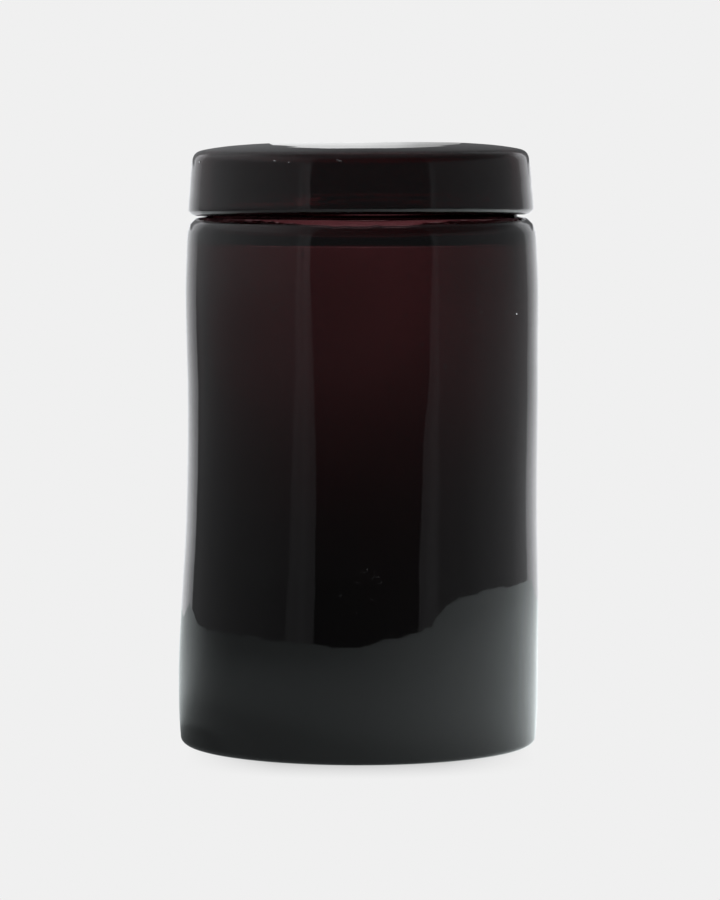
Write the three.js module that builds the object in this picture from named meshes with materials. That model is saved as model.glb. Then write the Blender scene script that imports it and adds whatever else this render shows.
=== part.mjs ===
// Apothecary jar: a mouth-blown cylinder of near-black violet glass and its loose cap lid.
// Millimetres, +Z up. The origin is the centre of the ring that the jar stands on.

import * as THREE from 'three';

// Both pieces are turned about Z.
const FACETS = 60;                 // flats round each piece
const QUARTER_STEPS = 4;           // chords in a quarter round
const HALF_STEPS = 6;              // chords in a half round

// Jar, outside.
const FOOT_INNER_RADIUS = 31;      // the standing ring is flat from here
const FOOT_OUTER_RADIUS = 46.6;    // to here
const KICK_HEIGHT = 2.4;           // how far the underside is pushed up at the axis
const HEEL_ROUND = 1.3;            // round between the foot and the wall
const WALL_OUTSIDE = [             // [radius, height]: a low belly, a waist and a full top
  [47.9, 1.3],
  [48.35, 16],
  [47.5, 52],
  [46.95, 92],
  [47.25, 120],
  [46.75, 136],
];
const LEDGE_RADIUS = 44.6;         // outer edge of the level ledge under the lid
const LEDGE_HEIGHT = 141.4;

// Jar, neck. It stands up inside the lid.
const NECK_RADIUS = 40.7;
const NECK_WALL = 2.9;
const NECK_FILLET = 0.9;           // round where the neck rises from the ledge
const RIM_HEIGHT = 157.1;          // top of the fire-polished rim

// Jar, inside. The glass is thin over the shoulder and heavy towards the bottom.
const SHOULDER_WALL = 1.6;
const WALL_INSIDE = [
  [42.1, 134.5],
  [42.4, 118],
  [41.8, 92],
  [40.4, 65],
  [38.9, 38],
  [38.2, 24],
];
const FLOOR_RADIUS = 29;           // flat part of the inside floor
const FLOOR_HEIGHT = 8.6;
const FLOOR_ROUND_TOP = 22;        // the bowl of the floor meets the wall here

// Lid: a shallow cap with a heavy crown, whose skirt covers the neck.
const LID_TOP = 161.6;
const CROWN_RISE = 0.7;            // the crown is this much higher at the axis than at its edge
const CROWN_RADIUS = 31;           // edge of the nearly level crown
const CROWN_ROUND_HEIGHT = 4.3;    // height of the big round from crown to skirt
const LID_TOP_RADIUS = 45.2;
const LID_LOW_RADIUS = 46.3;       // the skirt spreads a little towards its lip
const LIP_HEIGHT = 142.2;          // lowest point of the lid
const LIP_ROUND_HEIGHT = 1.4;
const SKIRT_WALL = 4;
const SEAT_GAP = 0.3;              // between the rim and the underside of the crown
const INNER_CORNER = 1;            // round inside the lid, between crown and skirt

// Points on a quarter or half ellipse, from one angle to another in degrees.
function arc(centre, radii, from, to, steps) {
  const points = [];
  for (let i = 0; i <= steps; i++) {
    const angle = THREE.MathUtils.degToRad(from + ((to - from) * i) / steps);
    const radius = centre[0] + radii[0] * Math.cos(angle);
    const height = centre[1] + radii[1] * Math.sin(angle);
    points.push([radius, height]);
  }
  return points;
}

// Points on a smooth curve through the given ones, both ends included.
function smooth(through, steps) {
  const curve = new THREE.SplineCurve(through.map(([r, z]) => new THREE.Vector2(r, z)));
  return curve.getPoints(steps).map((p) => [p.x, p.y]);
}

// A closed solid turned about Z. The outline runs from the axis, round the outside, back to the axis.
function turned(name, outline, material) {
  const profile = outline.map(([r, z]) => new THREE.Vector2(r, z));
  const geometry = new THREE.LatheGeometry(profile, FACETS);
  geometry.rotateX(Math.PI / 2);
  const mesh = new THREE.Mesh(geometry, material);
  mesh.name = name;
  return mesh;
}

function makeJar(material) {
  const [footRadius] = WALL_OUTSIDE[0];
  const [wallTopRadius, wallTop] = WALL_OUTSIDE[WALL_OUTSIDE.length - 1];
  const [insideFootRadius] = WALL_INSIDE[WALL_INSIDE.length - 1];
  const heel = [FOOT_OUTER_RADIUS, HEEL_ROUND];
  const heelRadii = [footRadius - FOOT_OUTER_RADIUS, HEEL_ROUND];
  const shoulder = [LEDGE_RADIUS, wallTop];
  const shoulderRadii = [wallTopRadius - LEDGE_RADIUS, LEDGE_HEIGHT - wallTop];
  const fillet = [NECK_RADIUS + NECK_FILLET, LEDGE_HEIGHT + NECK_FILLET];
  const bore = NECK_RADIUS - NECK_WALL;
  const rimCentre = [NECK_RADIUS - NECK_WALL / 2, RIM_HEIGHT - NECK_WALL / 2];
  const roof = LEDGE_HEIGHT - SHOULDER_WALL;
  const floorRadii = [insideFootRadius - FLOOR_RADIUS, FLOOR_ROUND_TOP - FLOOR_HEIGHT];
  const outline = [
    // Underside: the kick, then the flat ring that stands on the shelf.
    [0, KICK_HEIGHT],
    [FOOT_INNER_RADIUS / 2, KICK_HEIGHT * 0.75],
    [FOOT_INNER_RADIUS, 0],
    // Heel and wall.
    ...arc(heel, heelRadii, -90, 0, QUARTER_STEPS),
    ...smooth(WALL_OUTSIDE, 10).slice(1),
    // Shoulder, ledge and neck.
    ...arc(shoulder, shoulderRadii, 0, 90, QUARTER_STEPS).slice(1),
    ...arc(fillet, [NECK_FILLET, NECK_FILLET], 270, 180, 2),
    // Rim and bore, then the underside of the ledge and the inside of the wall.
    ...arc(rimCentre, [NECK_WALL / 2, NECK_WALL / 2], 0, 180, HALF_STEPS),
    [bore, roof + 1],
    [bore + 1, roof],
    [LEDGE_RADIUS - SHOULDER_WALL, roof - 0.4],
    ...smooth(WALL_INSIDE, 8),
    // Bowl of the floor.
    ...arc([FLOOR_RADIUS, FLOOR_ROUND_TOP], floorRadii, 0, -90, QUARTER_STEPS),
    [0, FLOOR_HEIGHT],
  ];
  return turned('jar_body', outline, material);
}

function makeLid(material) {
  const crownEdge = LID_TOP - CROWN_RISE;
  const skirtTop = crownEdge - CROWN_ROUND_HEIGHT;
  const underCrown = RIM_HEIGHT + SEAT_GAP;
  const corner = [LID_TOP_RADIUS - SKIRT_WALL - INNER_CORNER, underCrown - INNER_CORNER];
  const lip = [LID_LOW_RADIUS - SKIRT_WALL / 2, LIP_HEIGHT + LIP_ROUND_HEIGHT];
  const crownRadii = [LID_TOP_RADIUS - CROWN_RADIUS, CROWN_ROUND_HEIGHT];
  const outline = [
    // Underside of the crown, the inner corner and the inside of the skirt.
    [0, underCrown],
    ...arc(corner, [INNER_CORNER, INNER_CORNER], 90, 0, 2),
    // Lip, fully rounded.
    ...arc(lip, [SKIRT_WALL / 2, LIP_ROUND_HEIGHT], 180, 360, HALF_STEPS),
    // Skirt, then the big round up to the crown.
    ...arc([CROWN_RADIUS, skirtTop], crownRadii, 0, 90, 6),
    [CROWN_RADIUS / 2, crownEdge + CROWN_RISE * 0.75],
    [0, LID_TOP],
  ];
  return turned('cap_lid', outline, material);
}

const jarGlass = new THREE.MeshStandardMaterial({ color: 0x241216, roughness: 0.06, metalness: 0 });
const lidGlass = new THREE.MeshStandardMaterial({ color: 0x17181b, roughness: 0.06, metalness: 0 });

const group = new THREE.Group();
group.add(makeJar(jarGlass));
group.add(makeLid(lidGlass));

export default group;
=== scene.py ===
"""The looks of a lidded apothecary jar in dark blown glass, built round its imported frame.

Laid out as an add-on and run as a script. Lengths are in metres, and outlines in millimetres.
"""

import math
import random

import bmesh
import bpy
import numpy as np
from bpy.props import FloatProperty, FloatVectorProperty, IntProperty, PointerProperty
from mathutils import Matrix, Vector, noise


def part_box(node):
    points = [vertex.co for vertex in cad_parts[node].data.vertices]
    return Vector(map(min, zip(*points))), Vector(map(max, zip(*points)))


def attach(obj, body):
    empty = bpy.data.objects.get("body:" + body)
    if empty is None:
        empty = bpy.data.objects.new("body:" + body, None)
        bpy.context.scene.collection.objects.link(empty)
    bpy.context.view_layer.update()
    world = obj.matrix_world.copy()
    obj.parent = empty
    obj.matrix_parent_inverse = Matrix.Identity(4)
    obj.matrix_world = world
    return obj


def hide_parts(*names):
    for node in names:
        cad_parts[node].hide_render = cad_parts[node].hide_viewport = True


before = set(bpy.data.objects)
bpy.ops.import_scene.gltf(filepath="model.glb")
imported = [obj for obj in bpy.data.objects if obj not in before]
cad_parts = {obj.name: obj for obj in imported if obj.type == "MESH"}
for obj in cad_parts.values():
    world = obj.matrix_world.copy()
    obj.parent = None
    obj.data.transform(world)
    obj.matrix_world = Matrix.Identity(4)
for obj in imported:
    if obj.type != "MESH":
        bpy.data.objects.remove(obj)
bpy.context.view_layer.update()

bl_info = {
    "name": "Apothecary Jar",
    "version": (1, 0, 0),
    "blender": (4, 5, 0),
    "location": "View3D > Sidebar > Jar",
    "description": "Blows the glass jar and its lid, and sets the studio round them",
    "category": "Add Mesh",
}

MM = 0.001
JAR_LOW, JAR_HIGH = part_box("jar_body")
LID_LOW, LID_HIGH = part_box("cap_lid")
AXIS = (JAR_LOW + JAR_HIGH) / 2
FACETS = 420
WALL_ROWS = 62
SHELL_ROWS = 16
SKIRT_ROWS = 74

# Outlines, as (radius, height) in millimetres.
UNDERSIDE = [(0, 2.4), (10, 2.25), (20, 1.6), (27, 0.75), (31.5, 0.15), (34.5, 0)]
HEEL_CENTRE = (46.2, 1.75)
HEEL_RADII = (1.78, 1.75)
WALL_OUTSIDE = [
    (47.97, 1.9), (48.2, 5), (48.42, 12), (48.45, 21), (48.25, 32), (47.95, 43), (47.5, 54),
    (47.2, 66), (47.1, 79), (47.15, 92), (47.22, 102), (47.33, 113), (47.32, 124), (47.05, 131),
    (46.88, 135), (46.6, 138), (46.05, 139.7), (45.3, 140.75), (44.4, 141.35), (43.2, 141.62),
    (42.2, 141.75), (41.4, 141.95), (40.9, 142.4), (40.72, 143.1), (40.7, 144.2), (40.7, 146),
]
RIM_ROUND = 1.25
SHELL_INSIDE = [
    (37.8, 143.4), (37.82, 142.6), (38.1, 141.95), (38.9, 141.5), (40.2, 141.3), (41.5, 141.18),
    (42.7, 140.88), (43.6, 140.3), (44.35, 139.25), (44.9, 137.55), (45.15, 135.6),
]
BEAD_RADIUS = 38.95
WALL_INSIDE = [
    (39.1, 136.3), (40.4, 135.8), (41.6, 135.4), (42.2, 135.05), (42.46, 134.5), (42.54, 133.4),
    (42.6, 128), (42.6, 116), (42.1, 101), (41.4, 88), (40.35, 70), (39.3, 52), (38.7, 38),
    (38.2, 27), (37.6, 20), (35.4, 13.5), (31.5, 9.9), (26, 8.8), (14, 8.9), (0, 9.1),
]
# How many fine steps the inside wall is cut into, how many of them make the bend under its bead,
# and how many rows the rest of it keeps.
INSIDE_STEPS = 1200
BEND_STEPS = 40
INSIDE_ROWS = 36
# Height of the thick wall's ragged top edge, as (degrees from the front, millimetres).
RAGGED_EDGE = [
    (0, 139.15), (18, 139.35), (30, 139.8), (38, 139.9), (60, 139.5), (120, 138.45), (150, 137.5),
    (180, 137.4),
]
# How far the blown wall wanders sideways as it rises, as (height, sideways) in millimetres.
LEAN = [
    (0, -0.5), (14, -0.52), (24, -0.47), (33, -0.2), (40, 0), (52, 0.27), (66, 0.5), (80, 0.68),
    (96, 0.76), (112, 0.56), (124, 0.5), (140, 0.42), (158, 0.3),
]
CROWN_INSIDE = [(0, 157.5), (20, 157.45), (37.5, 157.4)]
CROWN_CORNER = (39.85, 155.9)
CORNER_ROUND = 1.5
SKIRT_INSIDE = [(41.35, 155.9), (41.35, 144.9)]
LIP = [
    (41.35, 144.9), (41.6, 143.6), (42.4, 142.7), (43.5, 142.25), (44.6, 142.15), (45.1, 142.3),
    (45.6, 142.68), (46.02, 143.15), (46.25, 143.5), (46.32, 143.95),
]
SKIRT_OUTSIDE = [
    (46.32, 143.95), (46.15, 146.4), (45.88, 149.2), (45.72, 152), (45.45, 154.6), (45.2, 156.8),
    (44.9, 157.9), (44.4, 158.72), (43.4, 159.4), (42, 159.8), (40, 160.16), (38, 160.45),
    (35, 160.8), (31, 161.12), (27, 161.36), (22, 161.5), (12, 161.62), (0, 161.66),
]
# How far the crown falls away towards the front, as (radius, fall) in millimetres.
CROWN_FALL = [(0, 0), (12, 0.15), (22, 0.5), (27, 0.65), (32, 0.72), (40, 0.65), (46, 0.6)]

# Where seeds gather in the jar's wall, as (degrees from the front, spread, height in millimetres,
# rise), and the order in which the drifts take their turns.
SEED_DRIFTS = [
    (42, 12, 124, 8), (-33, 5, 125, 5), (0, 5, 47, 4), (150, 40, 90, 30), (-120, 40, 60, 30),
    (5, 30, 6, 1),
]
DRIFT_ORDER = (0, 1, 0, 3, 2, 0, 4, 5)
SEED_LOWEST, SEED_HIGHEST = 4, 131

# The light tent round the jar, from straight behind round by the left to straight behind:
# compass degrees at its low, middle and high levels, and the brightness there and at its top.
# Past TENT_BEHIND degrees it is already as dim as its top above the fourth level.
TENT_BEHIND = 150
TENT_RADIUS = 0.35
TENT_LEVELS = (0.042, 0.085, 0.161, 0.168, 0.26, 0.32, 0.55)
TENT = [
    ((-180, -180, -180), (1.0, 1.0, 1.05, 0.12)),
    ((-160, -160, -160), (1.1, 1.02, 1.1, 0.25)),
    ((-148, -148, -148), (1.15, 0.93, 1.0, 0.36)),
    ((-141, -141, -141), (1.05, 0.8, 0.85, 0.4)),
    ((-136, -136, -136), (0.85, 0.66, 0.7, 0.45)),
    ((-131.4, -131.4, -131.4), (0.68, 0.6, 0.55, 0.5)),
    ((-130.8, -130.8, -130.8), (0.17, 0.18, 0.46, 0.52)),
    ((-122, -122, -122), (0.2, 0.27, 0.44, 0.6)),
    ((-95, -95, -95), (0.2, 0.27, 0.43, 0.6)),
    ((-65, -65, -65), (0.17, 0.25, 0.36, 0.5)),
    ((-45, -41.3, -39.9), (0.14, 0.24, 0.29, 0.3)),
    ((-44.3, -40.6, -39.2), (0.21, 0.33, 0.4, 0.3)),
    ((-42, -39.2, -38), (0.23, 0.35, 0.42, 0.3)),
    ((-38.5, -36.8, -36), (0.21, 0.31, 0.33, 0.25)),
    ((-35, -34.8, -34.2), (0.25, 0.36, 0.4, 0.25)),
    ((-32, -32.6, -33), (0.21, 0.29, 0.42, 0.2)),
    ((-27.4, -30.6, -31.8), (0.2, 0.27, 0.38, 0.2)),
    ((-26.9, -30.1, -31.3), (0.06, 0.12, 0.12, 0.12)),
    ((5, 5, 5), (0.065, 0.12, 0.115, 0.08)),
    ((35.2, 41.5, 43.4), (0.075, 0.11, 0.115, 0.06)),
    ((35.7, 42, 43.9), (0.24, 0.29, 0.17, 0.06)),
    ((38.5, 43.2, 44.8), (0.23, 0.25, 0.27, 0.06)),
    ((41.5, 45.2, 46.3), (0.29, 0.3, 0.29, 0.06)),
    ((46.8, 47.2, 47.3), (0.28, 0.32, 0.27, 0.08)),
    ((48.6, 48.4, 48.3), (0.2, 0.23, 0.21, 0.1)),
    ((65, 65, 65), (0.22, 0.24, 0.23, 0.1)),
    ((80, 80, 80), (0.28, 0.3, 0.26, 0.12)),
    ((110, 110, 110), (0.36, 0.35, 0.28, 0.15)),
    ((124, 124, 124), (0.46, 0.36, 0.32, 0.2)),
    ((129.6, 129.6, 129.6), (0.5, 0.36, 0.4, 0.25)),
    ((130.2, 130.2, 130.2), (0.9, 0.64, 0.6, 0.25)),
    ((135, 135, 135), (1.05, 0.8, 0.75, 0.28)),
    ((141, 141, 141), (1.15, 0.97, 0.9, 0.3)),
    ((148, 148, 148), (1.22, 1.12, 1.05, 0.32)),
    ((160, 160, 160), (1.1, 1.12, 1.05, 0.14)),
    ((180, 180, 180), (1.0, 1.0, 1.05, 0.12)),
]
# Height of the tent's lower edge above the floor, as (compass degrees, millimetres).
TENT_HEM = [
    (-180, 0), (-150, 4), (-135, 15.4), (-121, 12.6), (-110, 13.4), (-102, 14.3), (-69, 18),
    (-42, 17.1), (-23, 14.2), (-8, 10.7), (6, 8.7), (21, 6.6), (33, 6.3), (42, 7.6), (47, 13.5),
    (52, 20), (62, 22.3), (86, 21.6), (120, 17.3), (136, 15.2), (150, 4), (180, 0),
]
# Brightness overhead by compass degrees, and straight up.
OVERHEAD = [
    (-180, 0.3), (-150, 0.4), (-110, 0.6), (-70, 0.55), (-40, 0.3), (-10, 0.12), (40, 0.08),
    (90, 0.12), (130, 0.2), (160, 0.28), (180, 0.3),
]
ZENITH = 0.22
# The white card behind the lid, as ((sideways, height) in metres, brightness) at each corner.
CARD_AWAY = 0.3
CARD = [
    ((-0.031, 0.1665), 1.0), ((-0.031, 0.192), 1.0), ((-0.013, 0.231), 1.0),
    ((0, 0.1665), 1.0), ((0, 0.231), 0.98), ((0.013, 0.1675), 0.82), ((0.013, 0.231), 0.8),
    ((0.02, 0.169), 0.6), ((0.02, 0.225), 0.56), ((0.035, 0.171), 0.42), ((0.035, 0.192), 0.42),
]
CARD_FACES = [(0, 3, 2, 1), (3, 4, 2), (3, 5, 6, 4), (5, 7, 8, 6), (7, 9, 10, 8)]
# Brightness of the table round the jar, by compass degrees and by metres from TABLE_SHADE.
TABLE_ROUND = [
    (-180, 1.15), (-129, 0.86), (-118, 0.66), (-109, 0.5), (-100, 0.42), (-86, 0.38), (-70, 0.41),
    (-49, 0.44), (-29, 0.46), (0, 0.53), (18, 0.63), (36, 0.79), (55, 0.97), (77, 1.17),
    (94, 1.32), (110, 1.43), (123, 1.57), (180, 1.5),
]
TABLE_AWAY = [
    (0.0, 0.33), (0.026, 0.45), (0.035, 0.66), (0.045, 0.72), (0.06, 0.75), (0.075, 0.78),
    (0.09, 0.87), (0.11, 0.96), (0.14, 1.0), (0.18, 1.0), (0.28, 0.91), (0.38, 0.8), (0.5, 0.7),
    (0.8, 0.62),
]
TABLE_SHADE = (-0.045, 0, 0)
TABLE_REACH = 1.2
FLOOR_REACH = 30


class JarSizes(bpy.types.PropertyGroup):
    """The jar's own sizes."""

    neck_wall: FloatProperty(
        name="Neck wall", description="Thickness of the neck under the lid",
        default=0.0029, min=0.0015, max=0.005, unit="LENGTH", subtype="DISTANCE",
    )
    ripple: FloatProperty(
        name="Ripple", description="How far the blown skin wanders in and out",
        default=0.00007, min=0, max=0.0005, unit="LENGTH", subtype="DISTANCE",
    )
    inside_ripple: FloatProperty(
        name="Inside ripple", description="How far the inner skin wanders in and out",
        default=0.00022, min=0, max=0.001, unit="LENGTH", subtype="DISTANCE",
    )
    lean: FloatProperty(
        name="Lean", description="How strongly the blown wall wanders off its axis",
        default=1.0, min=0, max=2,
    )


class LidSizes(bpy.types.PropertyGroup):
    """The lid's own sizes."""

    tilt: FloatProperty(
        name="Tilt", description="How far the lid leans to its left where it sits on the rim",
        default=math.radians(0.28), min=0, max=0.02, subtype="ANGLE", unit="ROTATION",
    )
    sideways: FloatProperty(
        name="Sideways", description="How far the lid sits to the right of the jar's axis",
        default=0.0002, min=-0.001, max=0.001, unit="LENGTH", subtype="DISTANCE",
    )
    lip_lift: FloatProperty(
        name="Lip lift", description="How much higher the hand-cut lip is in front",
        default=0.00075, min=0, max=0.002, unit="LENGTH", subtype="DISTANCE",
    )
    ripple: FloatProperty(
        name="Ripple", description="How far the lid's skin wanders in and out",
        default=0.00005, min=0, max=0.0005, unit="LENGTH", subtype="DISTANCE",
    )


class GlassLook(bpy.types.PropertyGroup):
    """The dark glass."""

    depth_colour: FloatVectorProperty(
        name="Depth colour", description="The tint that the glass takes on with depth",
        default=(0.335, 0.0016, 0.035), min=0, max=1, size=3, subtype="COLOR",
    )
    depth_strength: FloatProperty(
        name="Depth strength", description="How fast the glass darkens with depth, per metre",
        default=630, min=0, max=3000,
    )
    smear: FloatProperty(
        name="Smear", description="Roughness of the skin where it has been handled",
        default=0.035, min=0, max=0.5,
    )
    seeds: IntProperty(
        name="Seeds", description="Number of small bubbles caught in the jar's wall",
        default=290, min=0, max=600,
    )
    lid_seeds: IntProperty(
        name="Lid seeds", description="Number of small bubbles caught in the lid",
        default=50, min=0, max=300,
    )


class StudioLook(bpy.types.PropertyGroup):
    """The floor, the light and the camera."""

    backdrop: FloatProperty(
        name="Backdrop", description="Brightness of the plain floor and backdrop",
        default=0.871, min=0, max=2,
    )
    camera_distance: FloatProperty(
        name="Camera distance", description="From the jar's axis to the camera",
        default=1.139, min=0.3, max=5, unit="LENGTH", subtype="DISTANCE",
    )
    camera_height: FloatProperty(
        name="Camera height", description="From the floor to the camera",
        default=0.16, min=0, max=2, unit="LENGTH", subtype="DISTANCE",
    )
    camera_pitch: FloatProperty(
        name="Camera pitch", description="How far the camera looks down",
        default=math.radians(4.073), min=0, max=1.5, subtype="ANGLE", unit="ROTATION",
    )
    camera_lens: FloatProperty(
        name="Camera lens", description="Focal length of the camera",
        default=169.5, min=20, max=400, unit="CAMERA",
    )


def spline(points, count):
    """Evenly spaced points along a smooth curve through the given ones."""
    p = np.array(points, float)
    t = np.concatenate([[0], np.cumsum(np.linalg.norm(np.diff(p, axis=0), axis=1))])
    n = len(p)
    h = np.diff(t)
    matrix = np.eye(n)
    right = np.zeros((n, 2))
    for i in range(1, n - 1):
        matrix[i, i - 1 : i + 2] = h[i - 1], 2 * (h[i - 1] + h[i]), h[i]
        right[i] = 6 * ((p[i + 1] - p[i]) / h[i] - (p[i] - p[i - 1]) / h[i - 1])
    bend = np.linalg.solve(matrix, right)
    fine = np.linspace(0, t[-1], 40 * n)
    k = np.clip(np.searchsorted(t, fine, side="right") - 1, 0, n - 2)
    a = ((t[k + 1] - fine) / h[k])[:, None]
    b = 1 - a
    step = (h[k] ** 2)[:, None] / 6
    curve = a * p[k] + b * p[k + 1] + ((a**3 - a) * bend[k] + (b**3 - b) * bend[k + 1]) * step
    along = np.concatenate([[0], np.cumsum(np.linalg.norm(np.diff(curve, axis=0), axis=1))])
    even = np.linspace(0, along[-1], count)
    return np.stack([np.interp(even, along, curve[:, c]) for c in range(2)], axis=1)


def arc(centre, radii, start, end, count):
    """Points on an elliptical arc, from one angle to another in degrees."""
    turn = np.radians(np.linspace(start, end, count))
    return np.stack(
        [centre[0] + radii[0] * np.cos(turn), centre[1] + radii[1] * np.sin(turn)], axis=1
    )


def line(start, end, count):
    """Evenly spaced points from one to the other, both left out."""
    share = np.linspace(0, 1, count + 2)[1:-1, None]
    return np.array(start) * (1 - share) + np.array(end) * share


def turned(outline):
    """Each point of the outline at each facet, as (points, facets, 2)."""
    return np.repeat(np.array(outline)[:, None, :], FACETS, axis=1)


def compass():
    """The direction of each facet, in radians from straight ahead."""
    return np.linspace(0, 2 * math.pi, FACETS, endpoint=False)


def wander(angle, height, size, seed, radius=0.047):
    """A slow wander over the skin, from -1 to 1, with bumps of about that size in metres."""
    out = np.zeros(np.broadcast(angle, height).shape)
    angle, height = np.broadcast_arrays(angle, height)
    for at in np.ndindex(out.shape):
        where = Vector(
            (
                radius * math.sin(angle[at]) / size + seed,
                radius * math.cos(angle[at]) / size,
                height[at] / size,
            )
        )
        out[at] = noise.noise(where)
    return out


def wander_grid(size, seed, low, high):
    """The wander on a coarse grid of facets and heights, as a function of height rows."""
    rows = max(4, int((high - low) / size * 6))
    heights = np.linspace(low, high, rows)
    coarse = wander(compass()[None, ::4], heights[:, None], size, seed)
    coarse = np.concatenate([coarse, coarse[:, :1]], axis=1)
    facets = np.linspace(0, coarse.shape[1] - 1, FACETS, endpoint=False)
    whole = facets.astype(int)
    part = facets - whole
    part = part * part * (3 - 2 * part)
    wide = coarse[:, whole] * (1 - part) + coarse[:, whole + 1] * part

    def at(height):
        place = np.clip((height - low) / (high - low), 0, 1) * (rows - 1)
        under = np.minimum(place.astype(int), rows - 2)
        share = place - under
        share = share * share * (3 - 2 * share)
        columns = np.broadcast_to(np.arange(FACETS), height.shape)
        return wide[under, columns] * (1 - share) + wide[under + 1, columns] * share

    return at


def skin(name, radius, height, lean):
    """A closed mesh from radius and height in millimetres per (point, facet)."""
    turn = compass()[None, :]
    inner = slice(1, -1)
    x = (radius * np.sin(turn) + lean(height)) * MM + AXIS.x
    y = -radius * np.cos(turn) * MM + AXIS.y
    z = height * MM + JAR_LOW.z
    rings = np.stack([x[inner], y[inner], z[inner]], axis=2).reshape(-1, 3)
    start, end = ([np.mean(a[i]) for a in (x, y, z)] for i in (0, -1))
    points = [*rings.tolist(), start, end]
    count = len(radius) - 2
    first, last = count * FACETS, count * FACETS + 1
    faces = []
    for j in range(FACETS):
        k = (j + 1) % FACETS
        faces.append((first, k, j))
        for i in range(count - 1):
            a, b = i * FACETS, (i + 1) * FACETS
            faces.append((a + j, a + k, b + k, b + j))
        top = (count - 1) * FACETS
        faces.append((last, top + j, top + k))
    mesh = bpy.data.meshes.new(name)
    mesh.from_pydata(points, [], faces)
    mesh.polygons.foreach_set("use_smooth", [True] * len(mesh.polygons))
    mesh.update()
    piece = bpy.data.objects.new(name, mesh)
    bpy.context.scene.collection.objects.link(piece)
    return piece


def add_seeds(piece, places):
    """Adds small closed bubbles inside the glass, each as (centre, long axis, flat axis, sizes)."""
    bubbles = bmesh.new()
    for centre, along, out, sizes in places:
        across = out.cross(along)
        lie = Matrix((along, across, out)).transposed().to_4x4()
        place = Matrix.Translation(centre) @ lie @ Matrix.Diagonal((*sizes, 1))
        bmesh.ops.create_icosphere(bubbles, subdivisions=2, radius=1, matrix=place)
    bmesh.ops.reverse_faces(bubbles, faces=bubbles.faces)
    for face in bubbles.faces:
        face.smooth = True
    bubbles.from_mesh(piece.data)
    bubbles.to_mesh(piece.data)
    bubbles.free()


def ragged_edge(turn):
    """Height in millimetres at which the thick wall begins under the shoulder, round the jar."""
    away = np.abs((turn + math.pi) % (2 * math.pi) - math.pi)
    level = np.interp(np.degrees(away), *zip(*RAGGED_EDGE))
    slow = wander(turn, np.zeros_like(turn), 0.011, 3.7)
    quick = wander(turn, np.zeros_like(turn), 0.0027, 8.1)
    return level + 0.3 * slow + 0.3 * quick


def jar_lean(height):
    """How far the blown wall has wandered sideways at that height, in millimetres."""
    at = spline(LEAN, 200)
    return np.interp(height, at[:, 0], at[:, 1]) * bpy.context.scene.jar_sizes.lean


def blown_jar():
    """The jar's glass: foot, wall, shoulder, neck and bore, in one closed skin."""
    sizes = bpy.context.scene.jar_sizes
    rim = (JAR_HIGH.z - JAR_LOW.z) / MM
    neck = WALL_OUTSIDE[-1][0]
    bore = neck - sizes.neck_wall / MM
    outside = [
        spline(UNDERSIDE, 12),
        line(UNDERSIDE[-1], (HEEL_CENTRE[0], 0), 3),
        arc(HEEL_CENTRE, HEEL_RADII, -90, -4, 9),
        spline(WALL_OUTSIDE, WALL_ROWS),
        line(WALL_OUTSIDE[-1], (neck, rim - RIM_ROUND), 5),
        arc((neck - RIM_ROUND, rim - RIM_ROUND), (RIM_ROUND, RIM_ROUND), 0, 90, 7),
        arc((bore + RIM_ROUND, rim - RIM_ROUND), (RIM_ROUND, RIM_ROUND), 90, 180, 7),
        line((bore, rim - RIM_ROUND), SHELL_INSIDE[0], 5),
    ]
    out = turned(np.concatenate(outside))
    turn = compass()
    edge = ragged_edge(turn)
    shell = spline(SHELL_INSIDE, 400)
    shell[:, 1] = np.minimum.accumulate(shell[:, 1])
    reach = np.interp(-edge, -shell[:, 1], np.linspace(0, 1, 400))
    share = np.linspace(0, 1, SHELL_ROWS)[:, None] * reach[None, :]
    under = np.stack(
        [np.interp(share, np.linspace(0, 1, 400), shell[:, c]) for c in range(2)], axis=2
    )
    brink = under[-1]
    ledge_in = np.stack([np.full(FACETS, BEAD_RADIUS + 0.45), edge - 0.1], axis=1)
    face_top = np.stack([np.full(FACETS, BEAD_RADIUS), edge - 0.6], axis=1)
    face_low = np.array([WALL_INSIDE[0]] * FACETS, float)
    ledge = [brink + (ledge_in - brink) * t for t in (0.1, 0.4, 0.75, 1)]
    face = [ledge_in + (face_top - ledge_in) * t for t in (0.5, 1)]
    fall = [face_top + (face_low - face_top) * t for t in (0.3, 0.65)]
    inner = np.stack([*ledge, *face, *fall])
    wall = spline(WALL_INSIDE, INSIDE_STEPS)
    bend = range(0, BEND_STEPS, 2)
    rest = np.linspace(BEND_STEPS, INSIDE_STEPS - 1, INSIDE_ROWS).astype(int)
    rows = np.concatenate([out, under, inner, turned(wall[[*bend, *rest]])])
    radius, height = rows[:, :, 0], rows[:, :, 1]
    top = rim * MM
    slow = wander_grid(0.038, 11.3, 0, top)
    quick = wander_grid(0.013, 27.9, 0, top)
    deep = wander_grid(0.022, 41.2, 0, top)
    z = height * MM
    body = np.clip((radius - 30) / 8, 0, 1) * np.clip((rim - 3 - height) / 4, 0, 1)
    inside = (np.arange(len(rows)) >= len(out))[:, None]
    outer_ripple = sizes.ripple / MM * (slow(z) + 0.35 * quick(z)) * 1.5
    inner_ripple = sizes.inside_ripple / MM * (deep(z) + 0.4 * quick(z)) * 1.5
    radius = radius + body * np.where(inside, inner_ripple, outer_ripple)
    return skin("jar_glass", radius, height, jar_lean)


def lid_outline():
    """The lid's outline, from the middle of its underside round the lip to the middle of its top."""
    return np.concatenate(
        [
            spline(CROWN_INSIDE, 14),
            arc(CROWN_CORNER, (CORNER_ROUND, CORNER_ROUND), 90, 0, 9),
            line(*SKIRT_INSIDE, 10),
            spline(LIP, 44)[:-1],
            spline(SKIRT_OUTSIDE, SKIRT_ROWS),
        ]
    )


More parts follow.
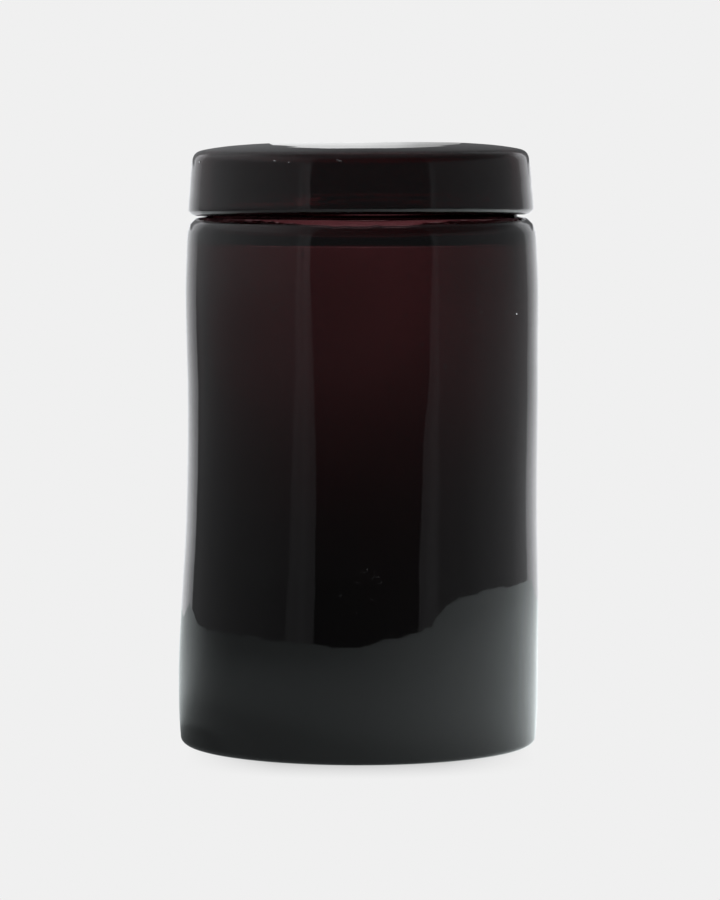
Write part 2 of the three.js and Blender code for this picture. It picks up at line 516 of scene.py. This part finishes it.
def blown_lid():
    """The lid's glass: crown, skirt and rounded lip, in one closed skin."""
    sizes = bpy.context.scene.lid_sizes
    rows = turned(lid_outline())
    radius, height = rows[:, :, 0], rows[:, :, 1]
    low, high = (LID_LOW.z - JAR_LOW.z), (LID_HIGH.z - JAR_LOW.z)
    slow = wander_grid(0.034, 63.5, low, high)
    quick = wander_grid(0.012, 71.9, low, high)
    z = height * MM
    edge = np.clip((radius - 20) / 15, 0, 1)
    low_down = np.clip((149 - height) / 5, 0, 1)
    ahead = np.clip(np.cos(compass()), 0, 1)[None, :] ** 1.5
    height = height + sizes.lip_lift / MM * ahead * low_down * low_down * (3 - 2 * low_down)
    outer = (np.arange(len(rows)) >= len(rows) - SKIRT_ROWS)[:, None]
    top = np.clip((height - 154) / 4, 0, 1) * outer
    fall = np.interp(radius, *zip(*CROWN_FALL)) * np.clip(np.cos(compass()), 0, 1)[None, :] ** 1.2
    height = height - fall * top * top * (3 - 2 * top)
    radius = radius + edge * sizes.ripple / MM * (slow(z) + 0.3 * quick(z)) * 1.5
    piece = skin("lid_glass", radius, height, lambda h: 0 * h + sizes.sideways / MM)
    seat = Vector((AXIS.x, AXIS.y, JAR_HIGH.z))
    lean = Matrix.Rotation(-sizes.tilt, 4, "Y")
    piece.data.transform(Matrix.Translation(seat) @ lean @ Matrix.Translation(-seat))
    return piece


def seed_place(draw, turn, radius, height, slant, lengths):
    """One seed near the skin, lying along it at that slant."""
    out = Vector((math.sin(turn), -math.cos(turn), 0))
    side = Vector((math.cos(turn), math.sin(turn), 0))
    along = side * math.cos(slant) + Vector((0, 0, 1)) * math.sin(slant)
    length = draw.uniform(*lengths) * MM / 2
    width = max(length * draw.uniform(0.2, 0.45), 0.00015)
    centre = out * radius * MM + Vector((AXIS.x, AXIS.y, JAR_LOW.z + height * MM))
    return centre, along, out, (length, width, width * 0.8)


def jar_seed_places(count):
    """Where the jar's seeds lie: drifts of them on the upper wall, and strays all round."""
    draw = random.Random(17)
    wall = spline(WALL_OUTSIDE, 200)[:170]
    places = []
    for number in range(count):
        if number % 5 < 2:
            turn, height = draw.uniform(-180, 180), draw.uniform(5, 134)
        else:
            drift = SEED_DRIFTS[DRIFT_ORDER[number % len(DRIFT_ORDER)]]
            middle, spread, level, rise = drift
            turn, height = draw.gauss(middle, spread), draw.gauss(level, rise)
        height = 2 * SEED_HIGHEST - height if height > SEED_HIGHEST else height
        height = 2 * SEED_LOWEST - height if height < SEED_LOWEST else height
        radius = np.interp(height, wall[:, 1], wall[:, 0]) - draw.uniform(0.22, 0.4)
        slant = draw.gauss(0.6, 0.5)
        place = seed_place(draw, math.radians(turn), radius, height, slant, (0.5, 1.6))
        place[0].x += jar_lean(height) * MM
        places.append(place)
    return places


def lid_seed_places(count):
    """Where the lid's seeds lie: short level streaks round its skirt."""
    draw = random.Random(23)
    places = []
    for _ in range(count):
        turn, height = draw.uniform(0, 2 * math.pi), draw.uniform(145, 157)
        radius = 45.3 - draw.uniform(0.1, 0.4)
        slant = draw.gauss(0, 0.25)
        places.append(seed_place(draw, turn, radius, height, slant, (0.5, 1.8)))
    return places


def node(tree, kind, links=None, **values):
    """A new node with its settings, its inputs' values and its incoming links."""
    made = tree.nodes.new(kind)
    for key, value in values.items():
        setattr(made, key, value)
    for key, value in (links or {}).items():
        socket = made.inputs[key]
        if isinstance(value, bpy.types.NodeSocket):
            tree.links.new(value, socket)
        else:
            socket.default_value = value
    return made


def mix_colour(tree, share, first, second, kind="MIX"):
    """A colour between two, by share."""
    made = node(tree, "ShaderNodeMix", data_type="RGBA", blend_type=kind)
    for index, value in ((0, share), (6, first), (7, second)):
        if isinstance(value, bpy.types.NodeSocket):
            tree.links.new(value, made.inputs[index])
        else:
            made.inputs[index].default_value = value
    return made.outputs[2]


def ramp(tree, share, stops):
    """A grey ramp through (position, brightness) stops."""
    made = node(tree, "ShaderNodeValToRGB", {"Fac": share})
    points = made.color_ramp.elements
    while len(points) > 1:
        points.remove(points[-1])
    for number, (position, grey) in enumerate(stops):
        point = points[0] if number == 0 else points.new(position)
        point.position = position
        point.color = (grey, grey, grey, 1)
    return made.outputs["Color"]


def skin_group():
    """The node group that both glasses share: striae, smears and the fine blown ripple."""
    tree = bpy.data.node_groups.new("Blown skin", "ShaderNodeTree")
    face = tree.interface
    wanted = [
        ("Streak size", 90.0), ("Streak shade", 0.05), ("Smear size", 55.0),
        ("Clean roughness", 0.01), ("Smeared roughness", 0.05), ("Ripple size", 260.0),
    ]
    for name, value in wanted:
        face.new_socket(name, in_out="INPUT", socket_type="NodeSocketFloat").default_value = value
    face.new_socket("Colour", in_out="OUTPUT", socket_type="NodeSocketColor")
    face.new_socket("Roughness", in_out="OUTPUT", socket_type="NodeSocketFloat")
    face.new_socket("Height", in_out="OUTPUT", socket_type="NodeSocketFloat")
    given = node(tree, "NodeGroupInput").outputs
    place = node(tree, "ShaderNodeTexCoord").outputs["Object"]
    drawn = node(
        tree, "ShaderNodeMapping",
        {"Vector": place, "Rotation": (0.5, 0.25, 0), "Scale": (1, 1, 0.16)},
    ).outputs[0]
    streaks = node(
        tree, "ShaderNodeTexNoise",
        {"Vector": drawn, "Scale": given["Streak size"], "Detail": 4.0, "Roughness": 0.55,
         "Distortion": 0.6},
    ).outputs["Fac"]
    paler = node(
        tree, "ShaderNodeMath", {0: streaks, 1: given["Streak shade"]}, operation="MULTIPLY"
    ).outputs[0]
    shade = node(tree, "ShaderNodeMath", {0: 1.0, 1: paler}, operation="SUBTRACT").outputs[0]
    colour = node(
        tree, "ShaderNodeCombineColor", {"Red": shade, "Green": shade, "Blue": shade}
    ).outputs[0]
    smears = node(
        tree, "ShaderNodeTexNoise",
        {"Vector": place, "Scale": given["Smear size"], "Detail": 5.0, "Roughness": 0.6,
         "Distortion": 0.8},
    ).outputs["Fac"]
    rough = node(
        tree, "ShaderNodeMapRange",
        {"Value": smears, "From Min": 0.42, "From Max": 0.72, "To Min": given["Clean roughness"],
         "To Max": given["Smeared roughness"]},
    ).outputs[0]
    fine = node(
        tree, "ShaderNodeTexNoise",
        {"Vector": place, "Scale": given["Ripple size"], "Detail": 2.0, "Roughness": 0.4},
    ).outputs["Fac"]
    height = node(
        tree, "ShaderNodeMath", {0: fine, 1: streaks}, operation="ADD"
    ).outputs[0]
    node(tree, "NodeGroupOutput", {"Colour": colour, "Roughness": rough, "Height": height})
    return tree


def dark_glass(name, streak_size, smear_size, ripple_height):
    """Dark red-brown glass that all but blacks out with depth."""
    look = bpy.context.scene.glass_look
    group = bpy.data.node_groups.get("Blown skin") or skin_group()
    material = bpy.data.materials.new(name)
    material.use_nodes = True
    tree = material.node_tree
    tree.nodes.clear()
    surface = node(tree, "ShaderNodeGroup", node_tree=group)
    surface.inputs["Streak size"].default_value = streak_size
    surface.inputs["Smear size"].default_value = smear_size
    surface.inputs["Smeared roughness"].default_value = look.smear
    bump = node(
        tree, "ShaderNodeBump",
        {"Height": surface.outputs["Height"], "Distance": ripple_height, "Strength": 1.0},
    )
    shader = node(
        tree, "ShaderNodeBsdfPrincipled",
        {"Base Color": surface.outputs["Colour"], "Roughness": surface.outputs["Roughness"],
         "Normal": bump.outputs["Normal"], "IOR": 1.5, "Metallic": 0.0, "Transmission Weight": 1.0},
    )
    depth = node(
        tree, "ShaderNodeVolumeAbsorption",
        {"Color": (*look.depth_colour, 1), "Density": look.depth_strength},
    )
    node(
        tree, "ShaderNodeOutputMaterial",
        {"Surface": shader.outputs[0], "Volume": depth.outputs[0]},
    )
    return material


def finish_piece(piece, body, stands_for, material):
    """Gives a piece its glass and its body, and hides the solid that it stands for."""
    piece.data.materials.clear()
    piece.data.materials.append(material)
    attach(piece, body)
    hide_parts(stands_for)


class BlowJar(bpy.types.Operator):
    """Blow the jar's glass body with its shoulder, neck, thick foot and seeds"""

    bl_idname = "jar.blow_jar"
    bl_label = "Blow Jar"
    bl_options = {"REGISTER", "UNDO"}

    def execute(self, context):
        piece = blown_jar()
        add_seeds(piece, jar_seed_places(context.scene.glass_look.seeds))
        material = dark_glass("jar glass", 90.0, 55.0, 0.000012)
        finish_piece(piece, "jar", "jar_body", material)
        return {"FINISHED"}


class BlowLid(bpy.types.Operator):
    """Blow the lift-off lid with its low dome, skirt, rounded lip and seeds"""

    bl_idname = "jar.blow_lid"
    bl_label = "Blow Lid"
    bl_options = {"REGISTER", "UNDO"}

    def execute(self, context):
        piece = blown_lid()
        add_seeds(piece, lid_seed_places(context.scene.glass_look.lid_seeds))
        material = dark_glass("lid glass", 120.0, 70.0, 0.000008)
        finish_piece(piece, "lid", "cap_lid", material)
        return {"FINISHED"}


def glow(name, build):
    """A material that only shines, with its strength made by build(tree)."""
    material = bpy.data.materials.new(name)
    material.use_nodes = True
    tree = material.node_tree
    tree.nodes.clear()
    shine = node(tree, "ShaderNodeEmission", {"Strength": 1.0})
    tree.links.new(build(tree), shine.inputs["Color"])
    node(tree, "ShaderNodeOutputMaterial", {"Surface": shine.outputs[0]})
    material.cycles.emission_sampling = "NONE"
    return material


def flat_sheet(name, reach):
    """A square sheet on the floor that reaches this far each way."""
    corners = [(-reach, -reach, 0), (reach, -reach, 0), (reach, reach, 0), (-reach, reach, 0)]
    mesh = bpy.data.meshes.new(name)
    mesh.from_pydata(corners, [], [(0, 1, 2, 3)])
    sheet = bpy.data.objects.new(name, mesh)
    bpy.context.scene.collection.objects.link(sheet)
    return sheet


def floor_shade(tree):
    """Pale all over, with a painted contact shadow close under the jar's heel."""
    look = bpy.context.scene.studio_look
    near = node(
        tree, "ShaderNodeAmbientOcclusion", {"Distance": 0.024}, samples=16
    ).outputs["AO"]
    # Painted shadow: the glowing floor is darkened where the jar stands close, as contact shade
    # under its heel.
    clear = node(
        tree, "ShaderNodeMapRange",
        {"Value": near, "From Min": 0.5, "From Max": 1.0, "To Min": 0.72, "To Max": 1.0},
    ).outputs[0]
    place = node(tree, "ShaderNodeTexCoord").outputs["Object"]
    away = node(tree, "ShaderNodeVectorMath", {0: place}, operation="LENGTH").outputs["Value"]
    far = node(
        tree, "ShaderNodeMapRange", {"Value": away, "From Min": 0.07, "From Max": 0.1}
    ).outputs[0]
    across = node(tree, "ShaderNodeSeparateXYZ", {"Vector": place}).outputs["X"]
    sideways = node(tree, "ShaderNodeMath", {0: across}, operation="ABSOLUTE").outputs[0]
    beside = node(
        tree, "ShaderNodeMapRange",
        {"Value": sideways, "From Min": 0.022, "From Max": 0.046},
    ).outputs[0]
    free = node(tree, "ShaderNodeMath", {0: far, 1: beside}, operation="MAXIMUM").outputs[0]
    lit = mix_colour(tree, free, clear, (1, 1, 1, 1))
    grey = look.backdrop
    return mix_colour(tree, 1.0, (grey, grey, grey, 1), lit, "MULTIPLY")


def compass_share(tree, place):
    """Compass direction of a place, as 0 to 1 from straight behind round by the left."""
    parts = node(tree, "ShaderNodeSeparateXYZ", {"Vector": place}).outputs
    ahead = node(tree, "ShaderNodeMath", {0: parts["Y"], 1: -1.0}, operation="MULTIPLY").outputs[0]
    turn = node(
        tree, "ShaderNodeMath", {0: parts["X"], 1: ahead}, operation="ARCTAN2"
    ).outputs[0]
    return node(
        tree, "ShaderNodeMapRange", {"Value": turn, "From Min": -math.pi, "From Max": math.pi}
    ).outputs[0]


def table_shade(tree):
    """Brighter to the right and behind, with the jar's soft shade close on its left."""
    place = node(tree, "ShaderNodeTexCoord").outputs["Object"]
    round_it = ramp(
        tree, compass_share(tree, place), [((at + 180) / 360, grey) for at, grey in TABLE_ROUND]
    )
    away = node(
        tree, "ShaderNodeVectorMath", {0: place, 1: TABLE_SHADE}, operation="DISTANCE"
    ).outputs["Value"]
    reach = TABLE_AWAY[-1][0]
    share = node(tree, "ShaderNodeMapRange", {"Value": away, "From Max": reach}).outputs[0]
    fall = ramp(tree, share, [(at / reach, grey) for at, grey in TABLE_AWAY])
    lit = mix_colour(tree, 1.0, round_it, fall, "MULTIPLY")
    return mix_colour(tree, 1.0, lit, (0.93, 1, 1.01, 1), "MULTIPLY")


def kept_shade(tree):
    """The brightness that a mesh keeps at its own corners."""
    return node(tree, "ShaderNodeAttribute", attribute_name="glow").outputs["Color"]


def light_tent():
    """A round paper screen with panels of different brightness, hung just above the floor."""
    columns = []
    for (here, light), (there, lit) in zip(TENT[:-1], TENT[1:]):
        parts = max(1, math.ceil((there[0] - here[0]) / 5))
        for part in range(parts):
            t = part / parts
            columns.append(
                ([a + (b - a) * t for a, b in zip(here, there)],
                 [a + (b - a) * t for a, b in zip(light, lit)])
            )
    columns.append(TENT[-1])
    hem_at, hem = zip(*TENT_HEM)
    points, shades = [], []
    for (low, middle, high), (dim, mild, clear, top) in columns:
        foot = np.interp(low, hem_at, hem) * MM
        over = clear if abs(high) < TENT_BEHIND else top
        turns = (low, low, middle, high, high, high, high, high)
        lights = (dim, dim, mild, clear, over, over, top, top)
        for turn, level, light in zip(turns, (foot, *TENT_LEVELS), lights):
            angle = math.radians(turn)
            points.append((TENT_RADIUS * math.sin(angle), -TENT_RADIUS * math.cos(angle), level))
            shades.extend((0.99 * light, light, 1.03 * light, 1))
    step = len(TENT_LEVELS) + 1
    faces = [
        (i * step + k, (i + 1) * step + k, (i + 1) * step + k + 1, i * step + k + 1)
        for i in range(len(columns) - 1)
        for k in range(step - 1)
    ]
    mesh = bpy.data.meshes.new("studio_tent")
    mesh.from_pydata(points, [], faces)
    mesh.color_attributes.new("glow", "FLOAT_COLOR", "POINT").data.foreach_set("color", shades)
    tent = bpy.data.objects.new("studio_tent", mesh)
    bpy.context.scene.collection.objects.link(tent)
    tent.visible_camera = False
    tent.visible_shadow = False
    mesh.materials.append(glow("tent paper", kept_shade))


def white_card():
    """A small white card behind the lid, which its crown mirrors."""
    mesh = bpy.data.meshes.new("studio_card")
    mesh.from_pydata([(x, CARD_AWAY, z) for (x, z), _ in CARD], [], CARD_FACES)
    shades = [c for _, light in CARD for c in (0.99 * light, light, light, 1)]
    mesh.color_attributes.new("glow", "FLOAT_COLOR", "POINT").data.foreach_set("color", shades)
    card = bpy.data.objects.new("studio_card", mesh)
    bpy.context.scene.collection.objects.link(card)
    card.visible_camera = False
    card.visible_shadow = False
    mesh.materials.append(glow("card white", kept_shade))


def studio_light():
    """Soft light from overhead as the glass sees it, and a plain pale backdrop to the camera."""
    look = bpy.context.scene.studio_look
    world = bpy.data.worlds.new("Studio")
    bpy.context.scene.world = world
    world.use_nodes = True
    tree = world.node_tree
    tree.nodes.clear()
    place = node(tree, "ShaderNodeTexCoord").outputs["Generated"]
    share = compass_share(tree, place)
    around = ramp(tree, share, [((turn + 180) / 360, grey) for turn, grey in OVERHEAD])
    up = node(tree, "ShaderNodeSeparateXYZ", {"Vector": place}).outputs["Z"]
    high = node(
        tree, "ShaderNodeMapRange", {"Value": up, "From Min": 0.72, "From Max": 0.95}
    ).outputs[0]
    overhead = mix_colour(tree, high, around, (ZENITH, ZENITH, ZENITH, 1))
    tinted = mix_colour(tree, 1.0, overhead, (0.99, 1.0, 1.03, 1), "MULTIPLY")
    grey = look.backdrop
    seen = node(tree, "ShaderNodeLightPath").outputs["Is Camera Ray"]
    shown = mix_colour(tree, seen, tinted, (grey, grey, grey, 1))
    shine = node(tree, "ShaderNodeBackground", {"Color": shown, "Strength": 1.0})
    node(tree, "ShaderNodeOutputWorld", {"Surface": shine.outputs[0]})


class SetStudio(bpy.types.Operator):
    """Set the pale floor, the soft studio light and the camera"""

    bl_idname = "jar.set_studio"
    bl_label = "Set Studio"
    bl_options = {"REGISTER", "UNDO"}

    def execute(self, context):
        scene = context.scene
        look = scene.studio_look
        floor = flat_sheet("studio_floor", FLOOR_REACH)
        floor.data.materials.append(glow("pale floor", floor_shade))
        table = flat_sheet("studio_table", TABLE_REACH)
        table.data.materials.append(glow("lit table", table_shade))
        table.location.z = -0.0002
        table.visible_camera = False
        light_tent()
        white_card()
        for path in ("diffuse", "glossy", "transmission", "volume_scatter", "shadow"):
            setattr(floor, "visible_" + path, False)
        studio_light()
        camera_data = bpy.data.cameras.new("camera")
        camera_data.lens = look.camera_lens
        camera_data.sensor_width = 36
        camera_data.clip_start = 0.01
        camera = bpy.data.objects.new("camera", camera_data)
        scene.collection.objects.link(camera)
        camera.location = (AXIS.x, AXIS.y - look.camera_distance, JAR_LOW.z + look.camera_height)
        camera.rotation_euler = (math.pi / 2 - look.camera_pitch, 0, 0)
        scene.camera = camera
        scene.view_settings.view_transform = "Standard"
        return {"FINISHED"}


class JarPanel(bpy.types.Panel):
    """The jar's sizes, glass and studio, with a button for each thing that is made"""

    bl_idname = "VIEW3D_PT_apothecary_jar"
    bl_label = "Apothecary Jar"
    bl_space_type = "VIEW_3D"
    bl_region_type = "UI"
    bl_category = "Jar"

    def draw(self, context):
        layout = self.layout
        for title, group, operators in (
            ("Jar", context.scene.jar_sizes, (BlowJar,)),
            ("Lid", context.scene.lid_sizes, (BlowLid,)),
            ("Glass", context.scene.glass_look, ()),
            ("Studio", context.scene.studio_look, (SetStudio,)),
        ):
            box = layout.box()
            box.label(text=title)
            for name in group.__annotations__:
                box.prop(group, name)
            for operator in operators:
                box.operator(operator.bl_idname)


CLASSES = (JarSizes, LidSizes, GlassLook, StudioLook, BlowJar, BlowLid, SetStudio, JarPanel)


def register():
    """Registers the classes and hangs their settings on the scene."""
    for cls in CLASSES:
        bpy.utils.register_class(cls)
    bpy.types.Scene.jar_sizes = PointerProperty(type=JarSizes)
    bpy.types.Scene.lid_sizes = PointerProperty(type=LidSizes)
    bpy.types.Scene.glass_look = PointerProperty(type=GlassLook)
    bpy.types.Scene.studio_look = PointerProperty(type=StudioLook)


def unregister():
    """Takes the settings and the classes away again."""
    for name in ("studio_look", "glass_look", "lid_sizes", "jar_sizes"):
        delattr(bpy.types.Scene, name)
    for cls in reversed(CLASSES):
        bpy.utils.unregister_class(cls)


def main():
    """Makes everything in order."""
    register()
    bpy.ops.jar.set_studio()
    bpy.ops.jar.blow_jar()
    bpy.ops.jar.blow_lid()


if __name__ == "__main__":
    main()
